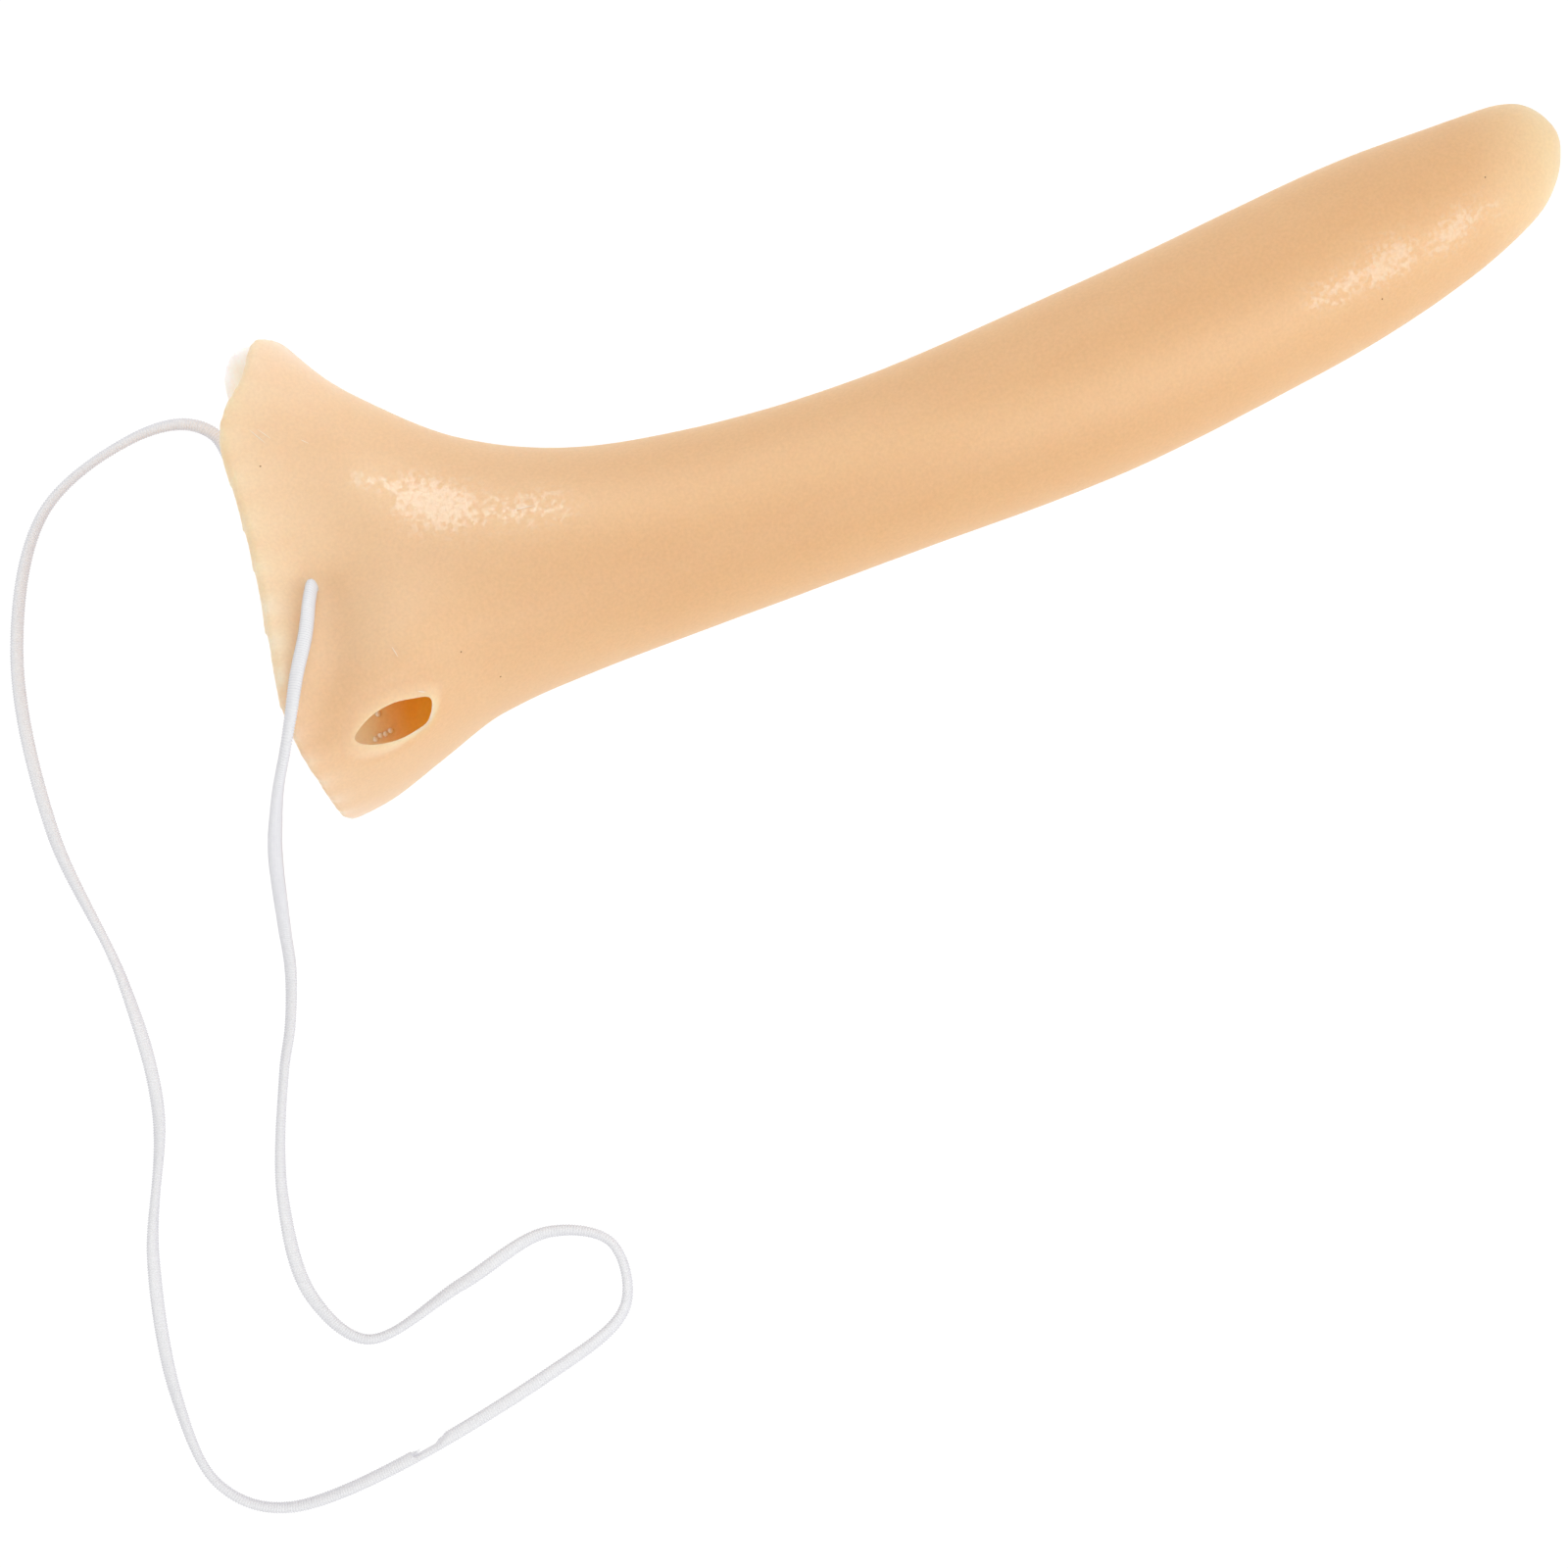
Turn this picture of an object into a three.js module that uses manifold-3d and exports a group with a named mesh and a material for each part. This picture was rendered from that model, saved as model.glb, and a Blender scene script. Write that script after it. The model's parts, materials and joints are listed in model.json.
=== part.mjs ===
// Long false nose: a hollow moulded latex nose with two nostrils, worn on a loop of round elastic
// cord that is knotted inside its side walls. It lies on its side on a table, with the cord loose.
// Millimetres. X runs from the face to the tip, Y up the face, and Z is up from the table.

import * as THREE from "three";
import { mergeVertices } from "three/addons/utils/BufferGeometryUtils.js";
import Module from "manifold-3d";

const wasm = await Module();
wasm.setup();

// Sizes of the latex shell
const WALL = 2.0;
const TIP_X = 167;
const CAP_X = 122;
const CAP_BLUNTNESS = 2.35;

// How the shell lies on its side: it rolls onto one flank and its tip drops to the table.
const LIE_ROLL = THREE.MathUtils.degToRad(11.4);
const LIE_PITCH = THREE.MathUtils.degToRad(1.15);

// Mesh fineness: sides round the nose, and rings along its base, shaft and rounded tip
const SIDES = 40;
const BASE_RINGS = 20;
const SHAFT_RINGS = 22;
const TIP_RINGS = 12;
const BASE_END_X = 18;

// Sections from the face to the tip. x, y: the section's centre. lean: its tilt in degrees.
// half: half its height. wide: half its width. taper: how much narrower its top is than its bottom.
// waist: how far its flanks draw in.
const SECTIONS = [
  { x: -10, y: 4.2, lean: 0, half: 37.8, wide: 25.0, taper: 0.46, waist: 0.42 },
  { x: 2, y: -2.4, lean: 0, half: 28.0, wide: 20.0, taper: 0.46, waist: 0.36 },
  { x: 8, y: -3.4, lean: 0, half: 24.0, wide: 17.6, taper: 0.42, waist: 0.22 },
  { x: 18, y: -4.0, lean: 0, half: 18.2, wide: 15.0, taper: 0.3, waist: 0.08 },
  { x: 30, y: -4.4, lean: 0.5, half: 14.8, wide: 13.2, taper: 0.15, waist: 0.0 },
  { x: 45, y: -3.3, lean: 3, half: 12.9, wide: 12.0, taper: 0.08, waist: 0.0 },
  { x: 70, y: 0.4, lean: 9, half: 11.8, wide: 11.2, taper: 0.04, waist: 0.0 },
  { x: 100, y: 6.9, lean: 14, half: 12.5, wide: 12.0, taper: 0.0, waist: 0.0 },
  { x: 122, y: 13.4, lean: 17, half: 12.2, wide: 11.8, taper: 0.0, waist: 0.0 },
  { x: 150, y: 22.6, lean: 18, half: 12.1, wide: 11.8, taper: 0.0, waist: 0.0 },
  { x: 168, y: 28.6, lean: 18, half: 12.1, wide: 11.8, taper: 0.0, waist: 0.0 },
];

// The trimmed rim. angle: degrees from the bridge, down the flank to the lip.
// right, left: where the rim lies along X on each side of the nose.
const RIM = [
  { angle: 0, right: -1.4, left: -1.4 },
  { angle: 14, right: -2.2, left: -4.0 },
  { angle: 28, right: -3.6, left: -7.2 },
  { angle: 42, right: -5.2, left: -9.6 },
  { angle: 55, right: -7.0, left: -10.8 },
  { angle: 70, right: -10.3, left: -10.2 },
  { angle: 95, right: -8.7, left: -8.6 },
  { angle: 130, right: -7.2, left: -6.6 },
  { angle: 150, right: -6.4, left: -4.0 },
  { angle: 166, right: -4.9, left: -4.0 },
  { angle: 180, right: -4.4, left: -4.4 },
];

// Soft forms pulled out of, or pushed into, the base and the tip, on both flanks when off the middle.
// at: the middle of the form on the right flank. by: how far it moves. reach: its radius.
const FORMS = [
  { name: "wing", at: [8, -16, 17], by: [0.4, -0.3, 2.2], reach: 12 },
  { name: "upper crease", at: [-0.2, -8, 15], by: [-0.3, -0.2, -1.0], reach: 7 },
  { name: "middle crease", at: [-0.4, -15, 17.5], by: [-0.3, -0.1, -1.4], reach: 7 },
  { name: "lower crease", at: [-2.5, -21, 19.5], by: [-0.2, 0, -1.1], reach: 7 },
  { name: "cheek", at: [3, 4, 11.5], by: [0, 0, 1.0], reach: 11 },
  { name: "cord dimple", at: [-1.8, -5.2, 14.8], by: [-0.2, -0.2, -0.6], reach: 4.5 },
  { name: "tip brow", at: [160, 37, 0], by: [0.3, 1.6, 0], reach: 16 },
  { name: "tip end", at: [167, 30, 0], by: [-0.9, -1.2, 0], reach: 7 },
];

// Nostrils, leaf-shaped holes in the underside. middle: on the right flank. along: from the round end
// to the pointed end. facing: the way the hole opens.
const NOSTRIL = {
  middle: [5.2, -24.7, 14.9],
  along: [0.92, 0.34, -0.2],
  facing: [0.36, -0.74, 0.57],
  length: 11.2,
  upper: 2.9,
  lower: 3.0,
  depth: 9,
};

// Round holes for the cord, punched straight across the nose through both flanks
const CORD_HOLE = { x: -2.0, y: -5.8, diameter: 2.6 };

// The elastic cord, and the stopper knots that hold its ends inside the flanks
const CORD_DIAMETER = 1.8;
const CORD_SIDES = 8;
const CORD_STEPS = 84;
const CORD_END_CROWDING = 0.72;
const KNOT_DIAMETER = 4.4;
const KNOT_Z = 9.2;

// The cord's route as it lies: out of the right hole, down over the flange to the table, round its
// loose loop, then under the lifted left rim and up into the left hole.
const CORD_ROUTE = [
  [-79.4, -3.7, 30.4],
  [-79.4, -3.3, 32.3],
  [-79.3, -3.3, 34.8],
  [-79.7, -5.0, 36.8],
  [-80.6, -9.2, 39.8],
  [-82.2, -14.2, 43.4],
  [-83.7, -19.4, 45.2],
  [-85.0, -23.0, 44.8],
  [-86.9, -27.0, 41.2],
  [-88.9, -31.2, 33.5],
  [-90.8, -35.4, 23.5],
  [-93.3, -44.7, 5.6],
  [-93.9, -50.7, 2.0],
  [-95.3, -57.7, 1.2],
  [-97.2, -63.7, 1.0],
  [-100.2, -79.7, 1.0],
  [-98.8, -93.2, 1.0],
  [-92.5, -100.2, 1.0],
  [-79.0, -95.2, 1.0],
  [-66.5, -90.4, 1.0],
  [-58.6, -93.2, 1.0],
  [-58.2, -101.7, 1.0],
  [-70.0, -109.0, 1.0],
  [-106.5, -120.2, 1.0],
  [-115.0, -115.7, 1.0],
  [-118.5, -103.7, 1.0],
  [-118.4, -84.7, 1.0],
  [-114.4, -65.7, 1.0],
  [-116.0, -48.2, 1.0],
  [-121.8, -26.7, 1.0],
  [-122.2, -2.7, 1.0],
  [-115.5, 14.6, 1.0],
  [-103.0, 21.9, 1.0],
  [-95.5, 22.8, 1.0],
  [-91.6, 20.7, 1.0],
  [-90.0, 16.9, 1.0],
  [-88.4, 12.9, 1.0],
  [-82.3, -4.7, 1.3],
  [-81.0, -7.1, 1.7],
  [-80.2, -8.4, 3.0],
  [-79.9, -8.7, 5.5],
  [-79.9, -8.3, 7.5],
];

function columnCurve(rows, key, columns) {
  const values = rows.flatMap((row) => columns.map((column) => row[column]));
  const places = rows.map((row) => row[key]);
  return new THREE.CubicInterpolant(places, new Float64Array(values), columns.length);
}

const sectionCurve = columnCurve(SECTIONS, "x", ["y", "lean", "half", "wide", "taper", "waist"]);
const rimCurve = columnCurve(RIM, "angle", ["right", "left"]);

function rimAt(angle) {
  const side = Math.sin(angle) < 0 ? 1 : 0;
  const down = THREE.MathUtils.radToDeg(Math.acos(THREE.MathUtils.clamp(Math.cos(angle), -1, 1)));
  return rimCurve.evaluate(down)[side];
}

// The skin before its soft forms: a leaning egg-shaped section, closed by a blunt round cap.
function loftPoint(x, angle) {
  const [y, lean, half, wide, taper, waist] = sectionCurve.evaluate(x);
  const capShare = Math.max(0, (x - CAP_X) / (TIP_X - CAP_X));
  const cap = Math.sqrt(Math.max(0, 1 - capShare ** CAP_BLUNTNESS));
  const up = half * cap * Math.cos(angle);
  const flank = 1 - taper * Math.cos(angle) + waist * Math.cos(2 * angle);
  const side = wide * cap * Math.sin(angle) * flank;
  const tilt = THREE.MathUtils.degToRad(lean);
  return new THREE.Vector3(x - up * Math.sin(tilt), y + up * Math.cos(tilt), side);
}

function pulled(point) {
  for (const { at, by, reach } of FORMS) {
    const hands = at[2] === 0 ? [1] : [1, -1];
    for (const hand of hands) {
      const middle = new THREE.Vector3(at[0], at[1], at[2] * hand);
      const near = Math.max(0, 1 - point.distanceTo(middle) / reach);
      const share = near * near * (3 - 2 * near);
      point.addScaledVector(new THREE.Vector3(by[0], by[1], by[2] * hand), share);
    }
  }
  return point;
}

// Where each ring crosses a line along the nose at that angle
function ringPlaces(angle) {
  const rim = rimAt(angle);
  const base = Array.from({ length: BASE_RINGS }, (_, i) => {
    return THREE.MathUtils.lerp(rim, BASE_END_X, i / BASE_RINGS);
  });
  const shaft = Array.from({ length: SHAFT_RINGS }, (_, i) => {
    return THREE.MathUtils.lerp(BASE_END_X, CAP_X, i / SHAFT_RINGS);
  });
  const tip = Array.from({ length: TIP_RINGS }, (_, i) => {
    return THREE.MathUtils.lerp(CAP_X, TIP_X, Math.sin(((i / TIP_RINGS) * Math.PI) / 2));
  });
  return [...base, ...shaft, ...tip];
}

function skinGeometry() {
  const lines = Array.from({ length: SIDES }, (_, k) => {
    const angle = (k / SIDES) * 2 * Math.PI;
    return ringPlaces(angle).map((x) => pulled(loftPoint(x, angle)));
  });
  const rings = lines[0].length;
  const points = [];
  for (let r = 0; r < rings; r += 1) {
    for (const line of lines) points.push(line[r]);
  }
  points.push(pulled(loftPoint(TIP_X, 0)));
  const pole = rings * SIDES;
  const index = [];
  for (let k = 0; k < SIDES; k += 1) {
    const next = (k + 1) % SIDES;
    for (let r = 0; r < rings - 1; r += 1) {
      const [a, b] = [r * SIDES + k, r * SIDES + next];
      index.push(a, b, b + SIDES, a, b + SIDES, a + SIDES);
    }
    const last = (rings - 1) * SIDES;
    index.push(last + k, last + next, pole);
  }
  const skin = new THREE.BufferGeometry().setFromPoints(points).setIndex(index);
  skin.computeVertexNormals();
  return skin;
}

// A wall of even thickness: the skin, its inner face, and the cut rim between them
function shellGeometry() {
  const skin = skinGeometry();
  const outer = skin.getAttribute("position");
  const normal = skin.getAttribute("normal");
  const points = [];
  for (const depth of [0, WALL]) {
    for (let i = 0; i < outer.count; i += 1) {
      const inward = new THREE.Vector3().fromBufferAttribute(normal, i).multiplyScalar(-depth);
      points.push(new THREE.Vector3().fromBufferAttribute(outer, i).add(inward));
    }
  }
  const faces = [...skin.index.array];
  const inside = outer.count;
  const index = [...faces];
  for (let i = 0; i < faces.length; i += 3) {
    index.push(faces[i] + inside, faces[i + 2] + inside, faces[i + 1] + inside);
  }
  for (let k = 0; k < SIDES; k += 1) {
    const next = (k + 1) % SIDES;
    index.push(k, inside + k, inside + next, k, inside + next, next);
  }
  return new THREE.BufferGeometry().setFromPoints(points).setIndex(index);
}

// The boolean library's form of a geometry, and back again
function solidOf(geometry) {
  const bare = new THREE.BufferGeometry().setAttribute("position", geometry.getAttribute("position"));
  const welded = mergeVertices(bare.setIndex(geometry.index), 1e-4);
  const vertProperties = new Float32Array(welded.getAttribute("position").array);
  const triVerts = new Uint32Array(welded.index.array);
  return new wasm.Manifold(new wasm.Mesh({ numProp: 3, vertProperties, triVerts }));
}

function geometryOf(solid) {
  const mesh = solid.getMesh();
  const geometry = new THREE.BufferGeometry();
  geometry.setAttribute("position", new THREE.BufferAttribute(mesh.vertProperties, 3));
  return geometry.setIndex(new THREE.BufferAttribute(mesh.triVerts, 1));
}

// A leaf outline: blunt at one end, drawn to a corner at the other, fuller below
function leafShape(hand) {
  const { length, upper, lower } = NOSTRIL;
  const end = length / 2;
  const leaf = new THREE.Shape();
  leaf.moveTo(-end, 0);
  leaf.bezierCurveTo(-end, hand * upper * 0.9, 0, hand * upper * 1.2, end, hand * upper * 0.35);
  leaf.bezierCurveTo(end, -hand * lower * 0.9, -end, -hand * lower * 1.7, -end, 0);
  return leaf;
}

function nostrilCutter(hand) {
  const mirrored = ([x, y, z]) => new THREE.Vector3(x, y, z * hand);
  const outward = mirrored(NOSTRIL.facing).normalize();
  const along = mirrored(NOSTRIL.along).projectOnPlane(outward).normalize();
  const across = new THREE.Vector3().crossVectors(outward, along);
  const start = mirrored(NOSTRIL.middle).addScaledVector(outward, -NOSTRIL.depth / 2);
  const cutter = new THREE.ExtrudeGeometry(leafShape(hand), {
    depth: NOSTRIL.depth,
    bevelEnabled: false,
    curveSegments: 12,
  });
  return cutter.applyMatrix4(new THREE.Matrix4().makeBasis(along, across, outward).setPosition(start));
}

function cordHoleCutter() {
  const radius = CORD_HOLE.diameter / 2;
  const across = new THREE.CylinderGeometry(radius, radius, 80, 16).rotateX(Math.PI / 2);
  return across.translate(CORD_HOLE.x, CORD_HOLE.y, 0);
}

const cutters = [nostrilCutter(1), nostrilCutter(-1), cordHoleCutter()];
const cutShell = cutters.reduce((solid, cutter) => solid.subtract(solidOf(cutter)), solidOf(shellGeometry()));

const latex = new THREE.MeshStandardMaterial({ color: 0xecc398, roughness: 0.45, metalness: 0 });
const shell = new THREE.Mesh(geometryOf(cutShell), latex);
shell.name = "nose_shell";

// The cord's tube takes shorter steps near its two ends, where it bends most.
class LaidCord extends THREE.CatmullRomCurve3 {
  getUtoTmapping(u, distance) {
    const turn = 2 * Math.PI;
    return super.getUtoTmapping(u - (CORD_END_CROWDING * Math.sin(turn * u)) / turn, distance);
  }
}

function cordGeometry() {
  const route = new LaidCord(CORD_ROUTE.map((place) => new THREE.Vector3(...place)));
  const corners = Array.from({ length: CORD_SIDES }, (_, i) => {
    const angle = ((i + 0.5) / CORD_SIDES) * 2 * Math.PI;
    return new THREE.Vector2(Math.cos(angle), Math.sin(angle)).multiplyScalar(CORD_DIAMETER / 2);
  });
  return new THREE.ExtrudeGeometry(new THREE.Shape(corners), { steps: CORD_STEPS, extrudePath: route });
}

const elastic = new THREE.MeshStandardMaterial({ color: 0xe6e7ec, roughness: 0.8, metalness: 0 });
const cord = new THREE.Mesh(cordGeometry(), elastic);
cord.name = "elastic_cord";

function knot(name, hand) {
  const ball = new THREE.SphereGeometry(KNOT_DIAMETER / 2, 12, 8);
  const mesh = new THREE.Mesh(ball, elastic.clone());
  mesh.name = name;
  mesh.position.set(CORD_HOLE.x, CORD_HOLE.y, KNOT_Z * hand);
  return mesh;
}

// Each flank carries its knot, and the cord lies apart from them on the table.
const nose = new THREE.Group();
nose.add(shell, knot("cord_knot_right", 1), knot("cord_knot_left", -1));
nose.rotation.set(-LIE_ROLL, LIE_PITCH, 0, "YXZ");

const part = new THREE.Group();
part.add(nose, cord);
part.updateMatrixWorld(true);
const box = new THREE.Box3().setFromObject(shell, true);
const middle = box.getCenter(new THREE.Vector3());
nose.position.set(-middle.x, -middle.y, -box.min.z);

export default part;
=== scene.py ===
# %% [markdown]
# # A long false nose on an elastic cord
# The real thing is a hollow nose moulded in flesh-coloured latex and worn on a loop of white elastic.
# It lies on its side on a white table and is seen from straight above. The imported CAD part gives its
# true sizes and places, and this lesson gives it a surface: skin, lips, marks, thread and light.

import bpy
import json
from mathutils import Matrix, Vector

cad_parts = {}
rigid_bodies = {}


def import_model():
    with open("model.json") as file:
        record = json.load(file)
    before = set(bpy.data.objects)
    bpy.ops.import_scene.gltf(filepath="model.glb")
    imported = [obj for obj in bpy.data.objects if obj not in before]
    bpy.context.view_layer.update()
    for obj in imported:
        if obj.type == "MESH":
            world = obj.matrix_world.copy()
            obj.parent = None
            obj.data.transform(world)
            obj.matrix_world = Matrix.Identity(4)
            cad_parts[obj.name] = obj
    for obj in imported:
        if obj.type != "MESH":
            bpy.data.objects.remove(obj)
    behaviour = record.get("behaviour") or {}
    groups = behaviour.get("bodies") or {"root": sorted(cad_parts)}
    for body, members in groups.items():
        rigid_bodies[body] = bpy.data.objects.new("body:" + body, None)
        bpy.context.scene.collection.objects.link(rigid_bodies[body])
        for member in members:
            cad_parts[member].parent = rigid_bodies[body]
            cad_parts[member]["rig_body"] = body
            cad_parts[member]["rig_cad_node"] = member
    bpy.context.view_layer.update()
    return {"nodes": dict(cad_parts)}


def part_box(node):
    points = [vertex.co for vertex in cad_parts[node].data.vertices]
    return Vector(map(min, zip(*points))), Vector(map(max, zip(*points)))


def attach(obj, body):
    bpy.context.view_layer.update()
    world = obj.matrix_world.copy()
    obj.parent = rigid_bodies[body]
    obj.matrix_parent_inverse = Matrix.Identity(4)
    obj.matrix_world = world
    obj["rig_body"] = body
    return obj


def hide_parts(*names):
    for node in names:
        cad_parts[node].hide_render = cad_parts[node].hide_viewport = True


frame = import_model()

# %% [markdown]
# ## Camera
# The camera comes first, so that every later choice can be judged from the same place. It looks
# straight down at the table, turned a little, and it is far enough off to keep the nose from bulging.
# The picture is square, so the lens angle follows from the width of table that it takes in.

# %% Look straight down at the table
import math

import bpy
from mathutils import Vector

MM = 0.001
CAMERA_PLACE = Vector((-25.7, -37.65, 600)) * MM
CAMERA_TURN = math.radians(-10)
TABLE_SEEN = 207 * MM

bpy.ops.object.select_all(action="DESELECT")
bpy.ops.object.camera_add(location=CAMERA_PLACE, rotation=(0, 0, CAMERA_TURN))
camera = bpy.context.object
camera.name = "overhead_camera"
camera.data.angle = 2 * math.atan(TABLE_SEEN / 2 / CAMERA_PLACE.z)
bpy.context.scene.camera = camera
print("lens angle in degrees", round(math.degrees(camera.data.angle), 2))

# %% [markdown]
# ## The cord's route
# The elastic is one fixed length of limp cord. It leaves the right flank, drops over the flange to the
# table, wanders round a loose loop and goes back under the nose into the left flank. A curve object
# could carry it, but its winding needs a mesh, so the route is sampled as a smooth line of points.
# The spline is the centripetal kind, which takes sharp turns without overshooting.

# %% Sample the route
import numpy as np

CORD_ROUTE_MM = [
    (-79.4, -3.7, 30.4),
    (-79.4, -3.3, 32.3),
    (-79.3, -3.3, 34.8),
    (-79.7, -5.0, 36.8),
    (-80.6, -9.2, 39.8),
    (-82.2, -14.2, 43.4),
    (-83.7, -19.4, 45.2),
    (-85.0, -23.0, 44.8),
    (-86.9, -27.0, 41.2),
    (-88.9, -31.2, 33.5),
    (-90.8, -35.4, 23.5),
    (-93.3, -44.7, 5.6),
    (-93.9, -50.7, 2.0),
    (-95.3, -57.7, 1.2),
    (-97.2, -63.7, 1.0),
    (-100.2, -79.7, 1.0),
    (-98.8, -93.2, 1.0),
    (-92.5, -100.2, 1.0),
    (-79.0, -95.2, 1.0),
    (-66.5, -90.4, 1.0),
    (-58.6, -93.2, 1.0),
    (-58.2, -101.7, 1.0),
    (-70.0, -109.0, 1.0),
    (-106.5, -120.2, 1.0),
    (-115.0, -115.7, 1.0),
    (-118.5, -103.7, 1.0),
    (-118.4, -84.7, 1.0),
    (-114.4, -65.7, 1.0),
    (-116.0, -48.2, 1.0),
    (-121.8, -26.7, 1.0),
    (-122.2, -2.7, 1.0),
    (-115.5, 14.6, 1.0),
    (-103.0, 21.9, 1.0),
    (-95.5, 22.8, 1.0),
    (-91.6, 20.7, 1.0),
    (-90.0, 16.9, 1.0),
    (-88.4, 12.9, 1.0),
    (-82.3, -4.7, 1.3),
    (-81.0, -7.1, 1.7),
    (-80.2, -8.4, 3.0),
    (-79.9, -8.7, 5.5),
    (-79.9, -8.3, 7.5),
]
SPLINE_STEPS = 60
FEWEST_PLACES = 4
WINDING_PITCH = 0.36 * MM
RINGS_PER_TURN = 4
RING_SPACING = WINDING_PITCH / RINGS_PER_TURN


def smooth_line(points, spacing):
    """A centripetal spline through the points, sampled at an even spacing, and the places along it."""
    points = np.asarray(points, float)
    ends = [2 * points[0] - points[1], *points, 2 * points[-1] - points[-2]]
    samples = []
    for a, b, c, d in zip(ends, ends[1:], ends[2:], ends[3:]):
        before, span, after = (np.linalg.norm(q - p) ** 0.5 for p, q in ((a, b), (b, c), (c, d)))
        leave = span * ((b - a) / before - (c - a) / (before + span)) + (c - b)
        arrive = (c - b) + span * ((d - c) / after - (d - b) / (span + after))
        t = np.linspace(0, 1, SPLINE_STEPS, endpoint=False)[:, None]
        curve = b + t * leave + t**2 * (3 * (c - b) - 2 * leave - arrive)
        samples.append(curve + t**3 * (2 * (b - c) + leave + arrive))
    line = np.vstack([*samples, points[-1:]])
    along = np.append(0, np.cumsum(np.linalg.norm(np.diff(line, axis=0), axis=1)))
    places = np.linspace(0, along[-1], max(FEWEST_PLACES, round(along[-1] / spacing)))
    return np.column_stack([np.interp(places, along, axis) for axis in line.T]), places


cord_route = np.array(CORD_ROUTE_MM) * MM
cord_line, cord_places = smooth_line(cord_route, RING_SPACING)

# %% [markdown]
# ## Thread wound over elastic
# Up close the cord isn't a smooth tube: white thread is wound tightly round a rubber core, so it has
# fine ribs across it, and it is a little flat and slowly twists. A bevelled curve would be round and
# smooth all along, so the tube is laid as rings, each with its own radius at each angle. At one place
# the winding is torn: nearly half of the cord's thickness is gone there for a few millimetres.

# %% Work out the rings of the wound cord
CORD_DIAMETER = 1.8 * MM
CORD_SIDES = 12
CORD_FLATNESS = 0.19
PULLED_THIN = 0.87
RIB_HEIGHT = 0.07 * MM
RIB_SUNK = 0.6
TWIST_LENGTH = 95 * MM
TWIST_SWAY = 0.8
TWIST_SWAY_LENGTH = 23 * MM
UNEVEN_TURNS = ((0.35, 1.7 * MM), (0.2, 0.61 * MM))
ACROSS_THE_START = (0.31, 0.17, 0.93)


def ring_frames(line):
    """Two directions across the line at each point, carried along it without needless turning."""
    ahead = np.gradient(line, axis=0)
    ahead /= np.linalg.norm(ahead, axis=1)[:, None]
    side = np.cross(ahead[0], ACROSS_THE_START)
    sides = []
    for direction in ahead:
        side = side - direction * (side @ direction)
        side = side / np.linalg.norm(side)
        sides.append(side)
    sides = np.array(sides)
    return sides, np.cross(ahead, sides)


def ring_directions(line, corners):
    """The outward direction of every vertex of every ring."""
    sides, ups = (axis[:, None] for axis in ring_frames(line))
    angles = np.arange(corners)[None, :, None] / corners * 2 * np.pi
    return np.cos(angles) * sides + np.sin(angles) * ups


def wound_radius(places, corners):
    """The radius of the wound cord, at each place along it and each corner round it."""
    places = places[:, None]
    angles = np.arange(corners)[None, :] / corners * 2 * np.pi
    twist = 2 * np.pi * places / TWIST_LENGTH + TWIST_SWAY * np.sin(places / TWIST_SWAY_LENGTH)
    flat = 1 + CORD_FLATNESS * np.cos(2 * (angles - twist))
    uneven = sum(share * np.sin(places / length) for share, length in UNEVEN_TURNS)
    turns = 2 * np.pi * places / WINDING_PITCH + uneven
    core = (CORD_DIAMETER / 2 - RIB_SUNK * RIB_HEIGHT) * PULLED_THIN
    return core * flat + RIB_HEIGHT * np.cos(turns + angles)


cord_radii = wound_radius(cord_places, CORD_SIDES)
print("wound cord is", (2 * cord_radii.min() / MM).round(2), "to", (2 * cord_radii.max() / MM).round(2), "mm")

# %% Tear the winding and lay the tube
TEAR_PLACE = np.array((-90.0, -114.6, 1.0)) * MM
TEAR_SIDE = np.array((0.2, 0.94, 0.28))
TEAR_LENGTH = 6.6 * MM
TEAR_DEPTH = 0.9
# How steeply the tear starts and how suddenly it ends.
TEAR_START = 2.2
TEAR_END = 18
LEAST_FACING = 0.08


def tube(name, line, radii):
    """A closed mesh tube: one ring of vertices for each point of the line."""
    count, corners = radii.shape
    points = line[:, None] + radii[:, :, None] * ring_directions(line, corners)
    ring = np.arange(count - 1)[:, None] * corners
    here = ring + np.arange(corners)
    there = ring + np.roll(np.arange(corners), -1)
    walls = np.stack([here, there, there + corners, here + corners], axis=-1).reshape(-1, 4)
    first = list(range(corners))[::-1]
    last = list(range((count - 1) * corners, count * corners))
    mesh = bpy.data.meshes.new(name)
    mesh.from_pydata(points.reshape(-1, 3).tolist(), [], [*walls.tolist(), first, last])
    mesh.shade_smooth()
    piece = bpy.data.objects.new(name, mesh)
    bpy.context.collection.objects.link(piece)
    return piece


tear_at = cord_places[np.argmin(np.linalg.norm(cord_line - TEAR_PLACE, axis=1))]
before_tear = (tear_at - cord_places) / TEAR_LENGTH
starting = np.clip(TEAR_START * (1 - before_tear), 0, 1)
depth_left = 1 - TEAR_DEPTH * starting * np.clip(TEAR_END * before_tear, 0, 1)
towards_tear = np.maximum(ring_directions(cord_line, CORD_SIDES) @ TEAR_SIDE, LEAST_FACING)
cord_radii = np.minimum(cord_radii, depth_left[:, None] * cord_radii / towards_tear)
elastic_cord = tube("wound_elastic_cord", cord_line, cord_radii)
print("cord faces", len(elastic_cord.data.polygons))

# %% [markdown]
# ## Torn fibres
# Where the winding ends so suddenly, cut threads stick out of the stump like a small brush. Each one is
# a hair-thin tube with a slight curl, started inside the stump. They are joined into one piece.

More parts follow.
